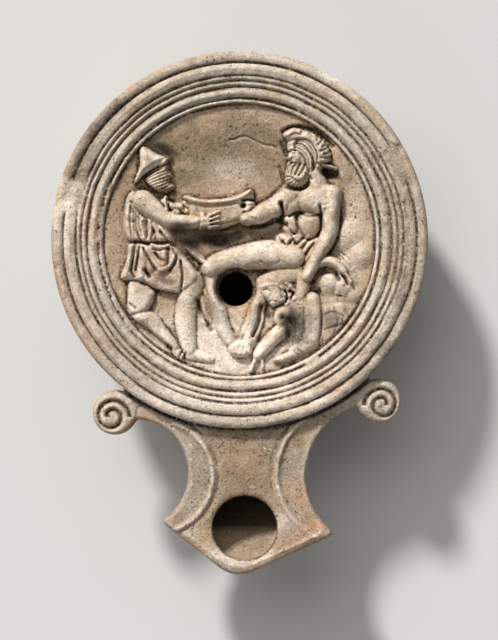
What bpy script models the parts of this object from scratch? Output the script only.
"""Mould-made Roman oil lamp of fired clay: a round body with a relief scene on its disc,
and an angular nozzle between two volutes. It is one hollow piece.

Lengths are in millimetres and are turned into metres when the mesh is written.
The origin is at the middle of the flat base. +Z is up and the nozzle points along -Y.
The lamp is four sheets seen in plan, two outside and two inside, joined at their edges.
"""
import math

import bpy
import numpy as np
from mathutils.geometry import delaunay_2d_cdt

MM = 0.001

# Body
DISC_RADIUS = 40.0
TOP = 26.1
BASE_RADIUS = 21.0
BASE_GROOVE_INSET = 3.0
BASE_GROOVE_WIDTH = 1.4
BASE_GROOVE_DEPTH = 0.5
BODY_WALL = 3.0
FLOOR_WALL = 3.0
EDGE_ROUNDING = 0.9

# Turned mouldings, as distance in from the rim and depth below the top
RIM_PROFILE = (
    (0.0, 0.90), (0.4, 0.25), (1.1, 0.00), (2.0, 0.20), (2.45, 1.20), (2.9, 0.25),
    (3.6, 0.00), (4.8, 0.30), (5.2, 1.05), (5.7, 0.50), (6.4, 1.35), (6.95, 0.75),
    (7.7, 1.80), (8.1, 1.10), (8.8, 0.85), (9.6, 1.30), (10.0, 2.20), (10.65, 1.40),
    (11.1, 2.60),
)
FIELD_RADIUS = DISC_RADIUS - RIM_PROFILE[-1][0]
FIELD_DISH = 2.2
RELIEF_HEIGHT = 3.6

# Nozzle, with its two concave sides as arcs and its blunt point as two lines.
# Its places run from the foot of the disc's rim: right, down and, for arcs, the radius.
NOZZLE_TOP = 23.5
LEFT_SIDE = (-22.5, 9.8, 11.5)
RIGHT_SIDE = (29.4, 10.4, 15.1)
LEFT_RIDGE = (-17.6, 10.4, 11.9)
RIGHT_RIDGE = (22.5, 9.9, 14.6)
NOSE = (-1.0, 32.5)
NOSE_LEFT_SLOPE = -0.786
NOSE_RIGHT_SLOPE = 0.4545
NOSE_ROUNDING = 4.0
CORNER_ROUNDING = 1.6
KEEL_SLOPE = 0.30
KEEL_WIDTH = 17.5
KEEL_REACH = 6.0
UNDER_BLEND = 1.5
RIDGE_WIDTH = 0.8
RIDGE_HEIGHT = 0.7
RIDGE_SPAN = 15.5

# Volutes, each a scroll at the end of a band that hugs the rim
LEFT_SCROLL_ANGLE = 234.2
RIGHT_SCROLL_ANGLE = 310.8
SCROLL_RADIUS = 4.8
SCROLL_GAP = 0.55
SCROLL_DROP = 0.25
SCROLL_DOME = 0.8
SCROLL_BLEND = 1.0
RIM_BLEND = 1.2
BAND_INSET = 12.0
STEP_WIDTH = 0.4
VOLUTE_THICKNESS = 6.0
VOLUTE_REACH = 3.0
EYE_SHIFT = 1.1
SPIRAL_START = 3.8
SPIRAL_PITCH = 1.9
SPIRAL_TURNS = 1.5
SPIRAL_WIDTH = 1.0
SPIRAL_DEPTH = 1.0
WEB_DROP = 1.5
WEB_THICKNESS = 3.5

# Filling hole in hundredths of the field's radius, and wick hole from the rim's foot
FILL_HOLE_PLACE = (-2.8, -36.3)
FILL_HOLE_RADIUS = 3.65
WICK_HOLE_PLACE = (1.1, 21.4)
WICK_HOLE_RADIUS = 6.85
LIP_DROP = 0.3

# The hollow, and the channel that joins it to the wick hole
RIM_WALL = 4.35
BASE_INSET = 2.5
ROOF_ROUNDING = 4.0
NOZZLE_ROOF_LIFT = 0.5
SEAM_DROP = 1.5
SEAM_REACH = 8.0
CHANNEL_CLEARANCE = 1.35
CHANNEL_SHIFT = 1.0
CHANNEL_BLEND = 4.0
HOLLOW_RADIUS = DISC_RADIUS - RIM_WALL
HOLLOW_BASE_RADIUS = BASE_RADIUS - BASE_INSET
HOLLOW_SEAM = TOP - RIM_PROFILE[-1][1] - BODY_WALL
CHANNEL_RADIUS = WICK_HOLE_RADIUS + CHANNEL_CLEARANCE
CHANNEL_SEAM = NOZZLE_TOP - BODY_WALL - SEAM_DROP

# Mesh
OUTLINE_STEP = 1.7
RIM_SEGMENTS = 72
SEED_SPACING = 4.0
DETAIL_GAP = 0.55
DETAIL_ROUNDS = 9
TOP_DETAIL = 1320
BOTTOM_DETAIL = 260
HOLLOW_DETAIL = 130
INNER_STEP = 3.4


def from_foot(place):
    """A place given from the foot of the rim, as (x, y) or a circle."""
    return (place[0], -DISC_RADIUS - place[1]) + tuple(place[2:])


def on_rim(degrees, out, radius=0.0):
    """A circle whose middle stands a distance out from the rim."""
    angle = math.radians(degrees)
    reach = DISC_RADIUS + out
    return (reach * math.cos(angle), reach * math.sin(angle), radius)


LEFT_ARC, RIGHT_ARC = from_foot(LEFT_SIDE), from_foot(RIGHT_SIDE)
LEFT_RIDGE_ARC, RIGHT_RIDGE_ARC = from_foot(LEFT_RIDGE), from_foot(RIGHT_RIDGE)
NOSE_X, NOSE_Y = from_foot(NOSE)
LEFT_SCROLL = on_rim(LEFT_SCROLL_ANGLE, SCROLL_RADIUS + SCROLL_GAP, SCROLL_RADIUS)
RIGHT_SCROLL = on_rim(RIGHT_SCROLL_ANGLE, SCROLL_RADIUS + SCROLL_GAP, SCROLL_RADIUS)
LEFT_EYE = on_rim(LEFT_SCROLL_ANGLE, SCROLL_RADIUS + SCROLL_GAP + EYE_SHIFT)
RIGHT_EYE = on_rim(RIGHT_SCROLL_ANGLE, SCROLL_RADIUS + SCROLL_GAP + EYE_SHIFT)
WICK_HOLE = from_foot(WICK_HOLE_PLACE) + (WICK_HOLE_RADIUS,)
FILL_HOLE = tuple(share * FIELD_RADIUS / 100 for share in FILL_HOLE_PLACE) + (FILL_HOLE_RADIUS,)


def smooth_max(a, b, k):
    h = np.maximum(k - np.abs(a - b), 0.0) / k
    return np.maximum(a, b) + h * h * k / 4


def smooth_min(a, b, k):
    return -smooth_max(-a, -b, k)


def quarter(s):
    """Rises from 0 at s = 0 to 1 at s = 1 like a quarter of a circle."""
    s = np.clip(s, 0.0, 1.0)
    return np.sqrt(1 - (1 - s) ** 2)


def ease(s):
    s = np.clip(s, 0.0, 1.0)
    return s * s * (3 - 2 * s)


def from_circle(x, y, circle):
    return np.hypot(x - circle[0], y - circle[1]) - circle[2]


def nozzle_sides(x, y):
    """Distance outside the two concave sides and the blunt point."""
    sides = np.maximum(-from_circle(x, y, LEFT_ARC), -from_circle(x, y, RIGHT_ARC))
    left = (NOSE_Y - y + NOSE_LEFT_SLOPE * (x - NOSE_X)) / math.hypot(1, NOSE_LEFT_SLOPE)
    right = (NOSE_Y - y + NOSE_RIGHT_SLOPE * (x - NOSE_X)) / math.hypot(1, NOSE_RIGHT_SLOPE)
    front = smooth_max(left, right, NOSE_ROUNDING)
    return smooth_max(sides, front, CORNER_ROUNDING)


def nozzle_plan(x, y):
    """Distance outside the nozzle and the volutes' bands, which start inside the disc."""
    scroll_half = SCROLL_RADIUS / 2
    bands = np.maximum(LEFT_SCROLL[0] + scroll_half - x, x - RIGHT_SCROLL[0] + scroll_half)
    bands = np.maximum(bands, y + DISC_RADIUS - BAND_INSET)
    return np.maximum(nozzle_sides(x, y), bands)


def volute_plan(x, y):
    scrolls = np.minimum(from_circle(x, y, LEFT_SCROLL), from_circle(x, y, RIGHT_SCROLL))
    return smooth_min(nozzle_plan(x, y), scrolls, SCROLL_BLEND)


def plan(x, y):
    """Distance outside the lamp's outline."""
    return smooth_min(np.hypot(x, y) - DISC_RADIUS, volute_plan(x, y), RIM_BLEND)


def hollow_plan(x, y):
    """Distance outside the hollow: the reservoir and the channel to the wick hole."""
    along = np.clip(y, WICK_HOLE[1] + CHANNEL_SHIFT, BAND_INSET - DISC_RADIUS)
    channel = np.hypot(x - WICK_HOLE[0], y - along) - CHANNEL_RADIUS
    return smooth_min(np.hypot(x, y) - HOLLOW_RADIUS, channel, CHANNEL_BLEND)


def rim_height(r):
    """The turned mouldings, and the dished field inside them."""
    reach = np.array([DISC_RADIUS - d for d, _ in RIM_PROFILE])[::-1]
    height = np.array([TOP - h for _, h in RIM_PROFILE])[::-1]
    spot = np.clip(np.searchsorted(reach, r) - 1, 0, len(reach) - 2)
    share = ease((r - reach[spot]) / (reach[spot + 1] - reach[spot]))
    turned = height[spot] + share * (height[spot + 1] - height[spot])
    dished = height[0] - FIELD_DISH * (1 - np.clip(r / FIELD_RADIUS, 0, 1) ** 2)
    return np.where(r < FIELD_RADIUS, dished, turned)


def smooth_path(points, parts=4):
    """A curve through the points, with their radii carried along."""
    points = [np.array(p, float) for p in points]
    ends = [2 * points[0] - points[1]] + points + [2 * points[-1] - points[-2]]
    path = []
    for a, b, c, d in zip(ends, ends[1:], ends[2:], ends[3:]):
        for i in range(parts):
            t = i / parts
            path.append(0.5 * (2 * b + (c - a) * t + (2 * a - 5 * b + 4 * c - d) * t * t
                               + (3 * b - a - 3 * c + d) * t ** 3))
    return path + [points[-1]]


def smooth_ring(points, parts=3):
    """A closed curve through the points."""
    count = len(points)
    path = smooth_path([points[i % count] for i in range(-1, count + 2)], parts)
    return path[parts:parts * (count + 1)]


class Relief:
    """The scene on the field, built up form by form.

    Places and widths are in hundredths of the field's radius, right and up from its middle.
    Heights are shares of the relief's full height.
    """

    def __init__(self, x, y):
        self.x = np.asarray(x) * 100 / FIELD_RADIUS
        self.y = np.asarray(y) * 100 / FIELD_RADIUS
        self.height = np.zeros_like(self.x)

    def nearest(self, path):
        """Distance to the path, and to its radius where it has one, as a share."""
        best = np.full_like(self.x, 1e9)
        share = np.full_like(self.x, 1e9)
        for a, b in zip(path, path[1:]):
            dx, dy = b[0] - a[0], b[1] - a[1]
            t = ((self.x - a[0]) * dx + (self.y - a[1]) * dy) / (dx * dx + dy * dy)
            t = np.clip(t, 0, 1)
            gap = np.hypot(self.x - a[0] - t * dx, self.y - a[1] - t * dy)
            if len(a) > 2:
                share = np.minimum(share, gap / (a[2] + t * (b[2] - a[2])))
            best = np.minimum(best, gap)
        return best, share

    def limb(self, points, lift):
        """A rounded limb along points of (x, y, radius)."""
        _, share = self.nearest(smooth_path(points))
        form = lift * np.clip(1 - share ** 2, 0, 1) ** 0.6
        self.height = np.maximum(self.height, form)

    def mound(self, x, y, radius, lift, tall=1.0):
        share = np.hypot(self.x - x, (self.y - y) / tall) / radius
        form = lift * np.clip(1 - share ** 2, 0, 1) ** 0.6
        self.height = np.maximum(self.height, form)

    def patch(self, points, lift, bevel):
        """A flat-topped form inside a smooth outline, with its edges rounded off."""
        ring = smooth_ring(points)
        gap, _ = self.nearest(ring + [ring[0]])
        inside = np.zeros(self.x.shape, bool)
        for a, b in zip(ring, ring[1:] + [ring[0]]):
            crosses = (a[1] > self.y) != (b[1] > self.y)
            level = np.where(crosses, (self.y - a[1]) / (b[1] - a[1] + 1e-12), 0.0)
            inside ^= crosses & (self.x < a[0] + level * (b[0] - a[0]))
        form = np.where(inside, lift * quarter(gap / bevel), 0.0)
        self.height = np.maximum(self.height, form)

    def groove(self, points, width, depth):
        """A cut along points, no deeper than a little under the field."""
        gap, _ = self.nearest(smooth_path(points))
        cut = self.height - depth * np.exp(-(gap / width) ** 2)
        self.height = np.maximum(cut, np.minimum(self.height, -0.12))


def standing_man(relief):
    """A man in a pointed cap and a belted tunic, striding in with a bowl."""
    relief.patch([(-80, 35), (-84, 28), (-86, 12), (-82, -2), (-70, -5), (-56, -5), (-46, 0),
                  (-50, 12), (-58, 26), (-68, 37)], 0.50, 8)
    relief.patch([(-80, -1), (-83, -14), (-87, -28), (-75, -31), (-64, -35), (-52, -38),
                  (-41, -38), (-31, -33), (-30, -25), (-38, -14), (-45, -6), (-60, -4)], 0.55, 7)
    relief.limb([(-72, -30, 10), (-74, -42, 9.5), (-76, -53, 7.5)], 0.50)
    relief.limb([(-74, -55, 7), (-66, -62, 7.5), (-57, -70, 6), (-49, -79, 4.5)], 0.50)
    relief.limb([(-46, -81, 4.2), (-43, -90, 3)], 0.35)
    relief.limb([(-39, -24, 9), (-35, -33, 8.5), (-38, -44, 7)], 0.62)
    relief.limb([(-38, -45, 7), (-40, -57, 7), (-39, -70, 6), (-37, -81, 4.8)], 0.60)
    relief.limb([(-36, -85, 4.8), (-27, -89, 4), (-18, -91, 2.8)], 0.45)
    relief.patch([(-76, 42), (-66, 50), (-52, 60), (-48, 52), (-47, 45), (-45, 39), (-49, 33),
                  (-58, 31), (-68, 36)], 0.78, 7)
    relief.patch([(-72, 69), (-67, 68), (-50, 61), (-56, 55), (-66, 48), (-78, 40), (-75, 52)],
                 0.95, 6)
    relief.limb([(-73, 28, 9), (-64, 21, 8.4), (-55, 14.5, 7.4), (-44, 11.5, 6.2),
                 (-32, 12, 5.2), (-23, 14, 5)], 0.92)
    relief.limb([(-25, 14, 5), (-17, 15.5, 4.6)], 0.85)
    relief.groove([(-81, -2), (-70, -4), (-60, -5), (-50, -4)], 1.6, 0.35)
    for top, middle, end in (((-75, -5), (-77, -16), (-78, -28)),
                             ((-68, -7), (-63, -18), (-60, -30)),
                             ((-58, -10), (-53, -20), (-51, -33)),
                             ((-48, -9), (-41, -20), (-38, -32))):
        relief.groove([top, middle, end], 1.5, 0.28)


def vessel(relief):
    """The wide bowl that passes between the two figures."""
    relief.patch([(-39, 28), (-22, 25), (-3, 28), (8, 33), (10, 28), (8, 20), (5, 13), (-6, 9),
                  (-20, 7), (-32, 10), (-39, 18)], 0.62, 8)
    relief.limb([(-41, 31, 2.4), (-31, 28, 2.5), (-20, 27, 2.5), (-7, 29, 2.4), (3, 33, 2.3),
                 (9, 35, 2.0)], 0.80)
    relief.mound(5, 24, 5.5, 0.75)
    relief.mound(-46, 24, 4, 0.55)


def seated_giant(relief):
    """A big bearded man seated on a rock, who reaches for the bowl."""
    relief.patch([(32, 40), (42, 36), (53, 41), (63, 42), (72, 36), (75, 26), (66, 18), (52, 18),
                  (44, 20), (36, 17), (31, 22), (29, 30)], 0.78, 8)
    relief.mound(51, 10, 9.8, 0.72, 1.25)
    relief.mound(38, 10, 6.5, 0.62, 1.35)
    relief.patch([(30, 5), (62, 4), (59, -16), (46, -23), (30, -17), (26, -6)], 0.55, 7)
    relief.limb([(44, -21, 10), (33, -27, 9.5), (20, -33, 8.5)], 0.55)
    relief.limb([(17, -36, 6.6), (14, -48, 5.9), (12, -61, 5.5), (7, -75, 5)], 0.55)
    relief.limb([(40, -13, 10), (21, -11, 10.6), (4, -13, 9.5), (-13, -17, 8.4), (-21, -21, 7.4)],
                0.90)
    relief.limb([(-21, -23, 7.2), (-19, -36, 6.6), (-15, -52, 6.2), (-7, -72, 5.5)], 0.68)
    relief.mound(1, -80, 7, 0.55, 0.9)
    relief.limb([(55, 48, 7), (57, 38, 9)], 0.75)
    relief.limb([(37, 32, 9.5), (28, 24, 8.8), (18, 19, 7.4), (9, 16, 5.6), (3, 15, 4.6)], 0.85)
    relief.patch([(32, 78), (38, 82), (50, 80), (61, 74), (68, 64), (66, 56), (58, 49),
                  (53, 42), (47, 37), (38, 37), (32, 43), (34, 56), (37, 66)], 0.98, 9)
    relief.limb([(68, 33, 7.6), (67, 18, 6.8), (66, 5, 6.8), (59, -8, 6.2), (53, -19, 5.6),
                 (49, -27, 5)], 0.92)
    relief.groove([(29, 25), (32, 20), (33, 13)], 2.0, 0.6)
    relief.groove([(34, 20), (42, 19), (52, 18), (61, 21)], 1.4, 0.25)
    relief.groove([(62, 30), (60, 22), (61, 6)], 1.5, 0.30)


def slumped_man(relief):
    """A smaller figure that sinks down at the giant's feet."""
    relief.limb([(42, -45, 12), (49, -58, 12.5), (50, -71, 11)], 0.50)
    relief.mound(33, -56, 9, 0.50)
    relief.mound(34, -38, 9, 0.55)
    relief.patch([(14, -32), (22, -29), (30, -32), (33, -44), (24, -50), (18, -45)], 0.60, 5)
    relief.limb([(30, -67, 6), (22, -75, 5.5), (15, -85, 4), (11, -92, 3.2)], 0.50)
    relief.limb([(53, -74, 7.3), (44, -83, 5.9), (34, -87, 4.4), (27, -86, 3.6)], 0.40)
    relief.limb([(57, -20, 4.6), (65, -17, 4.6), (74, -21, 4.2), (81, -30, 2.8)], 0.62)


def rocks(relief):
    """The cave's rocks behind and under the figures."""
    relief.patch([(70, 3), (77, 7), (88, 6), (95, -3), (96, -14), (88, -23), (79, -21), (72, -12)],
                 0.45, 9)
    relief.patch([(58, -27), (77, -26), (81, -34), (75, -41), (61, -40)], 0.50, 6)
    relief.patch([(61, -49), (77, -46), (92, -49), (88, -62), (76, -70), (62, -74)], 0.42, 8)
    relief.limb([(-39, -6, 1.8), (-32, -12, 1.8), (-25, -17, 2.2)], 0.40)
    relief.limb([(-25, -39, 4.5), (-26, -48, 4.5), (-24, -60, 3.5)], 0.20)


def scene_height(x, y):
    relief = Relief(x, y)
    rocks(relief)
    slumped_man(relief)
    standing_man(relief)
    vessel(relief)
    seated_giant(relief)
    r = np.hypot(x, y)
    clear = np.clip(from_circle(x, y, FILL_HOLE) / 1.5, 0, 1)
    return RELIEF_HEIGHT * relief.height * ease((FIELD_RADIUS - r) / 0.8) * ease(clear)


def spiral_cut(x, y, eye, side):
    """The groove that winds into a volute's eye."""
    r = np.hypot(x - eye[0], y - eye[1])
    turn = np.arctan2(y - eye[1], (x - eye[0]) * side) / (2 * math.pi) % 1.0
    gap = np.full_like(r, 1e9)
    for lap in range(int(SPIRAL_TURNS) + 1):
        line = SPIRAL_START - SPIRAL_PITCH * (lap + turn)
        gap = np.minimum(gap, np.where(lap + turn < SPIRAL_TURNS, np.abs(r - line), 1e9))
    return SPIRAL_DEPTH * np.exp(-(gap / (SPIRAL_WIDTH / 2)) ** 2)


def nozzle_relief(x, y):
    """Two raised ridges that follow the volutes' inner edges."""
    outside = np.hypot(x, y) > DISC_RADIUS
    away = x - WICK_HOLE[0]
    left = np.abs(from_circle(x, y, LEFT_RIDGE_ARC)) + 9 * (away > 0)
    right = np.abs(from_circle(x, y, RIGHT_RIDGE_ARC)) + 9 * (away < 0)
    shown = outside & (np.abs(away) < RIDGE_SPAN)
    return RIDGE_HEIGHT * shown * np.exp(-(np.minimum(left, right) / RIDGE_WIDTH) ** 2)


def scroll_top(x, y, scroll):
    gap = -from_circle(x, y, scroll)
    return NOZZLE_TOP - SCROLL_DROP + SCROLL_DOME * quarter(gap / scroll[2])


def plain_top(x, y):
    """The upper side with its mouldings and volutes, without the scene and the rounded edge."""
    level = np.full_like(x, NOZZLE_TOP - WEB_DROP)
    band = ease(-nozzle_plan(x, y) / STEP_WIDTH + 0.5)
    level = level + band * (NOZZLE_TOP - level)
    for scroll in (LEFT_SCROLL, RIGHT_SCROLL):
        share = ease(-from_circle(x, y, scroll) / STEP_WIDTH + 0.5)
        level = level + share * (scroll_top(x, y, scroll) - level)
    r = np.hypot(x, y)
    return np.where(r <= DISC_RADIUS + 1e-6, rim_height(np.minimum(r, DISC_RADIUS)), level)


def edge_height(x, y):
    """The height at which the upper and the lower side meet."""
    disc = np.hypot(x, y) <= DISC_RADIUS + 0.02
    drop = np.where(disc, 0.0, EDGE_ROUNDING)
    return plain_top(x, y) - drop


def top_height(x, y):
    r = np.hypot(x, y)
    height = plain_top(x, y) + np.where(r < FIELD_RADIUS, scene_height(x, y), 0.0)
    outer = r > DISC_RADIUS
    cuts = spiral_cut(x, y, LEFT_EYE, 1) + spiral_cut(x, y, RIGHT_EYE, -1)
    rounding = EDGE_ROUNDING * (1 - quarter(-plan(x, y) / EDGE_ROUNDING))
    height = height + outer * (nozzle_relief(x, y) - cuts - rounding)
    lip = np.minimum(from_circle(x, y, FILL_HOLE), from_circle(x, y, WICK_HOLE))
    return height - LIP_DROP * np.exp(-np.maximum(lip, 0) / 0.5)


def bowl(r, base, rim, low, high):
    """The body's side, from a flat floor up to the rim."""
    t = np.clip((r - base) / (rim - base), 0, 1)
    return low + (high - low) * (1 - (1 - t ** 1.5) ** (1 / 1.8))


def keel_height(y):
    return KEEL_SLOPE * np.maximum(-y - BASE_RADIUS, 0.0)


def bottom_height(x, y):
    r = np.hypot(x, y)
    edge = edge_height(x, y)
    side = bowl(r, BASE_RADIUS, DISC_RADIUS, 0.0, TOP - RIM_PROFILE[0][1])
    side = np.where(r < DISC_RADIUS, side, edge)
    reach = np.minimum(-nozzle_sides(x, y), KEEL_WIDTH - np.abs(x - WICK_HOLE[0]))
    keel = edge + (keel_height(y) - edge) * quarter(reach / KEEL_REACH)
    keel = np.where((reach > 0) & (y < 0), keel, edge)
    volute = edge - VOLUTE_THICKNESS * quarter(-volute_plan(x, y) / VOLUTE_REACH)
    volute = np.where(r > DISC_RADIUS - VOLUTE_REACH, volute, edge)
    web = edge - WEB_THICKNESS * quarter(-plan(x, y))
    height = smooth_min(smooth_min(side, keel, UNDER_BLEND), np.minimum(volute, web), 0.6)
    groove = np.abs(r - (BASE_RADIUS - BASE_GROOVE_INSET)) / (BASE_GROOVE_WIDTH / 2)
    groove = BASE_GROOVE_DEPTH * np.clip(1 - groove, 0, 1)
    return np.where(r < BASE_RADIUS, groove, np.maximum(height, 0.0))


def seam_height(x, y):
    """The height at which the hollow's roof and floor meet."""
    share = ease((np.hypot(x, y) - HOLLOW_RADIUS) / SEAM_REACH)
    return HOLLOW_SEAM + share * (CHANNEL_SEAM - HOLLOW_SEAM)


def roof_height(x, y):
    r = np.hypot(x, y)
    over = TOP - RIM_PROFILE[-1][1]
    field = over - FIELD_DISH * (1 - np.clip(r / FIELD_RADIUS, 0, 1) ** 2)
    level = field + ease((r - DISC_RADIUS) / ROOF_ROUNDING + 1) * (NOZZLE_TOP - over) - BODY_WALL
    level = level + NOZZLE_ROOF_LIFT * ease((r - FIELD_RADIUS) / 2.0)
    seam = seam_height(x, y)
    return seam + (level - seam) * quarter(-hollow_plan(x, y) / ROOF_ROUNDING)


def floor_height(x, y):
    r = np.hypot(x, y)
    seam = seam_height(x, y)
    side = bowl(r, HOLLOW_BASE_RADIUS, HOLLOW_RADIUS, FLOOR_WALL, HOLLOW_SEAM)
    side = np.where(r < HOLLOW_RADIUS, side, seam)
    lane = CHANNEL_RADIUS - np.abs(x - WICK_HOLE[0])
    lane = np.minimum(lane, -hollow_plan(x, y))
    channel = seam + (keel_height(y) + FLOOR_WALL - seam) * quarter(lane / CHANNEL_RADIUS)
    channel = np.where((lane > 0) & (y < -BASE_RADIUS), channel, seam)
    return smooth_min(side, channel, UNDER_BLEND)


def slope(shape, x, y):
    """Which way the plan distance grows, as a unit vector."""
    step = 1e-4
    gx = float(shape(np.float64(x + step), np.float64(y)) - shape(np.float64(x - step), np.float64(y)))
    gy = float(shape(np.float64(x), np.float64(y + step)) - shape(np.float64(x), np.float64(y - step)))
    size = math.hypot(gx, gy)
    return gx / size, gy / size


def trace(shape, start, spacing):
    """Walks round the outline where the plan distance is zero, then spaces it evenly."""
    stride = 0.25
    x, y = start
    walk = []
    while True:
        for _ in range(3):
            gx, gy = slope(shape, x, y)
            gap = float(shape(np.float64(x), np.float64(y)))
            x, y = x - gap * gx, y - gap * gy
        if len(walk) > 20 and math.hypot(x - walk[0][0], y - walk[0][1]) < stride:
            break
        walk.append((x, y))
        gx, gy = slope(shape, x, y)
        x, y = x - gy * stride, y + gx * stride
    walk = np.array(walk + [walk[0]])
    length = np.concatenate([[0], np.cumsum(np.hypot(*np.diff(walk, axis=0).T))])
    count = int(round(length[-1] / spacing))
    spots = np.linspace(0, length[-1], count, endpoint=False)
    return np.column_stack([np.interp(spots, length, walk[:, i]) for i in (0, 1)])


def circle_points(circle, count):
    angles = np.arange(round(count)) * 2 * math.pi / round(count)
    return np.column_stack([circle[0] + circle[2] * np.cos(angles),
                            circle[1] + circle[2] * np.sin(angles)])


def inset_rows(shape, loop, distances):
    """Rows of points that follow the outline at set distances inside it."""
    rows = []
    for row, distance in enumerate(distances):
        stride = 1 if distance < 2 else 2
        for x, y in loop[row % stride::stride]:
            gx, gy = slope(shape, x, y)
            px, py = x - gx * distance, y - gy * distance
            if abs(float(shape(np.float64(px), np.float64(py))) + distance) < 0.12 * distance:
                rows.append((px, py))
    return np.array(rows)


def lattice(spacing, reach):
    """A triangular lattice over a square of the given reach, shifted down to cover the nozzle."""
    rise = spacing * math.sqrt(3) / 2
    rows = int(2 * reach / rise) + 1
    columns = int(2 * reach / spacing) + 1
    i, j = np.meshgrid(np.arange(columns), np.arange(rows))
    x = (i + 0.5 * (j % 2)) * spacing - reach
    y = j * rise - 2 * reach + DISC_RADIUS
    return np.column_stack([x.ravel(), y.ravel()])


def spread(points, gap, fixed=0):
    """Drops points that stand closer than the gap to an earlier one, and the fixed ones."""
    cells = {}
    kept = []
    for place, (x, y) in enumerate(points):
        cell = (math.floor(x / gap), math.floor(y / gap))
        near = [p for i in (-1, 0, 1) for j in (-1, 0, 1)
                for p in cells.get((cell[0] + i, cell[1] + j), ())]
        if place < fixed or all(math.hypot(x - px, y - py) >= gap for px, py in near):
            cells.setdefault(cell, []).append((x, y))
            if place >= fixed:
                kept.append((x, y))
    return np.array(kept)


def inside_loop(points, loop):
    x, y = points[:, 0], points[:, 1]
    inside = np.zeros(len(points), bool)
    for a, b in zip(loop, np.roll(loop, -1, axis=0)):
        crosses = (a[1] > y) != (b[1] > y)
        level = np.where(crosses, (y - a[1]) / (b[1] - a[1] + 1e-12), 0.0)
        inside ^= crosses & (x < a[0] + level * (b[0] - a[0]))
    return inside


def triangulate(outline, holes, rings, seeds):
    """Triangles between the outline and the holes, with edges along the rings.

    The points of the outline come first, then those of the holes, in order.
    """
    loops = [outline] + holes + rings
    points = np.concatenate(loops + [seeds])
    border = len(outline) + sum(len(hole) for hole in holes)
    edges, first = [], 0
    for loop in loops:
        edges += [(first + i, first + (i + 1) % len(loop)) for i in range(len(loop))]
        first += len(loop)
    result = delaunay_2d_cdt([tuple(p) for p in points], edges, [], 0, 1e-5, True)
    origins = [ids[0] for ids in result[3]]
    triangles = np.array([[origins[i] for i in face] for face in result[2]])
    middles = points[triangles].mean(axis=1)
    keep = inside_loop(middles, outline)
    for hole in holes:
        keep &= ~inside_loop(middles, hole)
    a, b, c = (points[triangles[:, i]] for i in range(3))
    area = np.abs((b[:, 0] - a[:, 0]) * (c[:, 1] - a[:, 1]) - (b[:, 1] - a[:, 1]) * (c[:, 0] - a[:, 0]))
    sliver = (area < 0.002) & (triangles < border).all(axis=1)
    return points, triangles[keep & ~sliver]


def clear_of(points, shape, holes, margin):
    x, y = points[:, 0], points[:, 1]
    keep = shape(x, y) < -margin
    for hole in holes:
        keep &= from_circle(x, y, hole) > margin
    return keep


def free_of_mouldings(points):
    r = np.hypot(points[:, 0], points[:, 1])
    return (r < FIELD_RADIUS - 0.5) | (r > DISC_RADIUS + 0.8)


def anywhere(points):
    return np.ones(len(points), bool)


def add_detail(sheet, height, shape, allowed, count):
    """Adds points where the triangles lie furthest from the true surface, round by round."""
    outline, holes, rings, seeds = sheet
    circles = (FILL_HOLE, WICK_HOLE) if holes else ()
    thirds = np.array([(1, 1, 1), (3, 3, 0), (0, 3, 3), (3, 0, 3), (4, 1, 1), (1, 4, 1), (1, 1, 4)])
    shares = thirds / thirds.sum(axis=1, keepdims=True)
    for lap in range(round(DETAIL_ROUNDS)):
        points, triangles = triangulate(outline, holes, rings, seeds)
        z = height(points[:, 0], points[:, 1])
        spots = np.einsum("sk,tkc->tsc", shares, points[triangles]).reshape(-1, 2)
        flat = np.einsum("sk,tk->ts", shares, z[triangles]).ravel()
        error = np.abs(height(spots[:, 0], spots[:, 1]) - flat)
        error *= allowed(spots) & clear_of(spots, shape, circles, 0.4)
        worst = error.reshape(len(triangles), -1).argmax(axis=1)
        worst = worst + np.arange(len(triangles)) * len(shares)
        worst = worst[np.argsort(-error[worst], kind="stable")]
        wanted = int(count * (lap + 1) / DETAIL_ROUNDS) - int(count * lap / DETAIL_ROUNDS)
        extra = spread(np.concatenate([points, spots[worst[:4 * wanted]]]), DETAIL_GAP, len(points))
        seeds = np.concatenate([seeds, extra[:wanted]])
    return triangulate(outline, holes, rings, seeds)


def build_top(outline, fill, wick):
    """The upper sheet: circles along the mouldings, and detail over the scene and the nozzle."""
    rings = [circle_points((0, 0, DISC_RADIUS - inset), RIM_SEGMENTS) for inset, _ in RIM_PROFILE[1:]]
    ledge = circle_points((0, 0, 1), RIM_SEGMENTS)
    ledge = ledge[plan(*(ledge * (DISC_RADIUS + 1)).T) < 0]
    edge = inset_rows(plan, outline, (EDGE_ROUNDING / 2,))
    edge = edge[np.hypot(*edge.T) > DISC_RADIUS + 0.8]
    broad = lattice(SEED_SPACING, 60.0)
    broad = broad[clear_of(broad, plan, (FILL_HOLE, WICK_HOLE), 1.5) & free_of_mouldings(broad)]
    ridges = [circle_points(arc[:2] + (arc[2] + shift,), 48)
              for arc in (LEFT_RIDGE_ARC, RIGHT_RIDGE_ARC) for shift in (-RIDGE_WIDTH, 0, RIDGE_WIDTH)]
    ridges = np.concatenate(ridges)
    beyond = (np.abs(ridges[:, 0] - WICK_HOLE[0]) > RIDGE_SPAN) | (np.hypot(*ridges.T) < DISC_RADIUS + 1)
    ridges = ridges[~beyond & clear_of(ridges, plan, (FILL_HOLE, WICK_HOLE), 0.5)]
    seeds = [ledge * DISC_RADIUS, ledge * (DISC_RADIUS + 0.35), edge, ridges, broad]
    seeds = spread(np.concatenate(seeds), 0.3)
    sheet = (outline, [fill, wick], rings, seeds)
    return add_detail(sheet, top_height, plan, free_of_mouldings, TOP_DETAIL)


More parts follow.
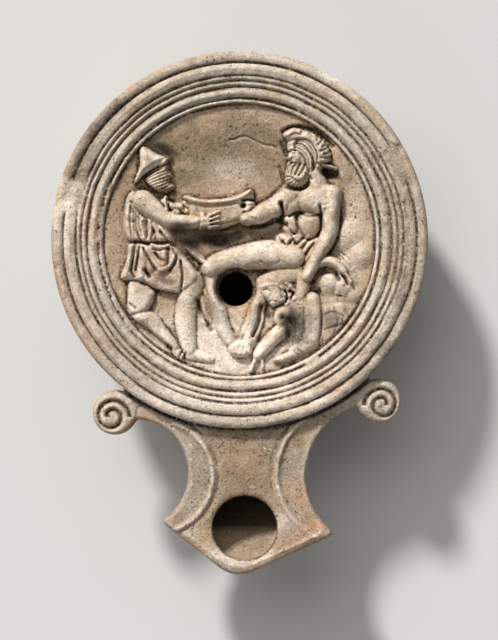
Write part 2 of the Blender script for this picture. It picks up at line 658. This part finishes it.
def build_lamp_mesh():
    outline = trace(plan, (0.0, DISC_RADIUS), OUTLINE_STEP)
    inner = trace(hollow_plan, (0.0, HOLLOW_RADIUS), INNER_STEP)
    fill = circle_points(FILL_HOLE, 20)
    wick = circle_points(WICK_HOLE, 32)
    groove = BASE_RADIUS - BASE_GROOVE_INSET
    base_rings = [circle_points((0, 0, r), 48) for r in
                  (BASE_RADIUS, groove + BASE_GROOVE_WIDTH / 2, groove, groove - BASE_GROOVE_WIDTH / 2)]
    side_rows = inset_rows(plan, outline, (0.35, 1.1, 2.6, 5.5))
    side_rows = spread(side_rows[np.hypot(*side_rows.T) > BASE_RADIUS + 1.5], 0.6)
    roof_rows = inset_rows(hollow_plan, inner, (0.5, 1.8, 4.5, 9.0, 15.0, 22.0, 30.0))
    roof = spread(roof_rows[clear_of(roof_rows, hollow_plan, (FILL_HOLE, WICK_HOLE), 0.6)], 1.0)
    floor_rows = inset_rows(hollow_plan, inner, (0.5, 1.8, 4.0, 8.0))
    floor_ring = circle_points((0, 0, HOLLOW_BASE_RADIUS), 36)
    floor_rows = spread(floor_rows[np.hypot(*floor_rows.T) > HOLLOW_BASE_RADIUS + 2], 1.0)
    under = add_detail((outline, [], base_rings, side_rows), bottom_height, plan, anywhere, BOTTOM_DETAIL)
    ground = add_detail((inner, [], [floor_ring], floor_rows), floor_height, hollow_plan, anywhere,
                        HOLLOW_DETAIL)
    sheets = [
        (outline, build_top(outline, fill, wick), top_height, edge_height, 1),
        (outline, under, bottom_height, edge_height, -1),
        (inner, triangulate(inner, [fill, wick], [], roof), roof_height, seam_height, -1),
        (inner, ground, floor_height, seam_height, 1),
    ]
    vertices, faces, starts = [], [], []
    for border, (points, triangles), height, edge, side in sheets:
        z = height(points[:, 0], points[:, 1])
        z[:len(border)] = edge(border[:, 0], border[:, 1])
        starts.append(len(vertices))
        vertices += list(np.column_stack([points, z]))
        for a, b, c in triangles:
            turn = np.cross(points[b] - points[a], points[c] - points[a])
            order = (a, b, c) if turn * side > 0 else (a, c, b)
            faces.append([starts[-1] + int(i) for i in order])
    same = {}
    for upper, lower, border in ((0, 1, outline), (2, 3, inner)):
        for i in range(len(border)):
            same[starts[lower] + i] = starts[upper] + i
    faces = [[same.get(i, i) for i in face] for face in faces]
    offset = len(outline)
    inner_offset = len(inner)
    for hole in (fill, wick):
        count = len(hole)
        for i in range(count):
            j = (i + 1) % count
            a, b = starts[0] + offset + i, starts[0] + offset + j
            c, d = starts[2] + inner_offset + i, starts[2] + inner_offset + j
            faces += [[a, b, d], [a, d, c]]
        offset += count
        inner_offset += count
    used = sorted({i for face in faces for i in face})
    place = {old: new for new, old in enumerate(used)}
    mesh = bpy.data.meshes.new("lamp_body")
    mesh.from_pydata([tuple(vertices[i] * MM) for i in used], [],
                     [[place[i] for i in face] for face in faces])
    mesh.update()
    return mesh


def clay_material():
    material = bpy.data.materials.new("fired_clay")
    material.use_nodes = True
    shader = material.node_tree.nodes["Principled BSDF"]
    shader.inputs["Base Color"].default_value = (0.50, 0.39, 0.28, 1)
    shader.inputs["Roughness"].default_value = 0.85
    shader.inputs["Metallic"].default_value = 0.0
    return material


def main():
    for item in list(bpy.data.objects):
        bpy.data.objects.remove(item)
    mesh = build_lamp_mesh()
    mesh.materials.append(clay_material())
    mesh.shade_smooth()
    mesh.set_sharp_from_angle(angle=math.radians(50))
    lamp = bpy.data.objects.new("lamp_body", mesh)
    bpy.context.scene.collection.objects.link(lamp)


main()
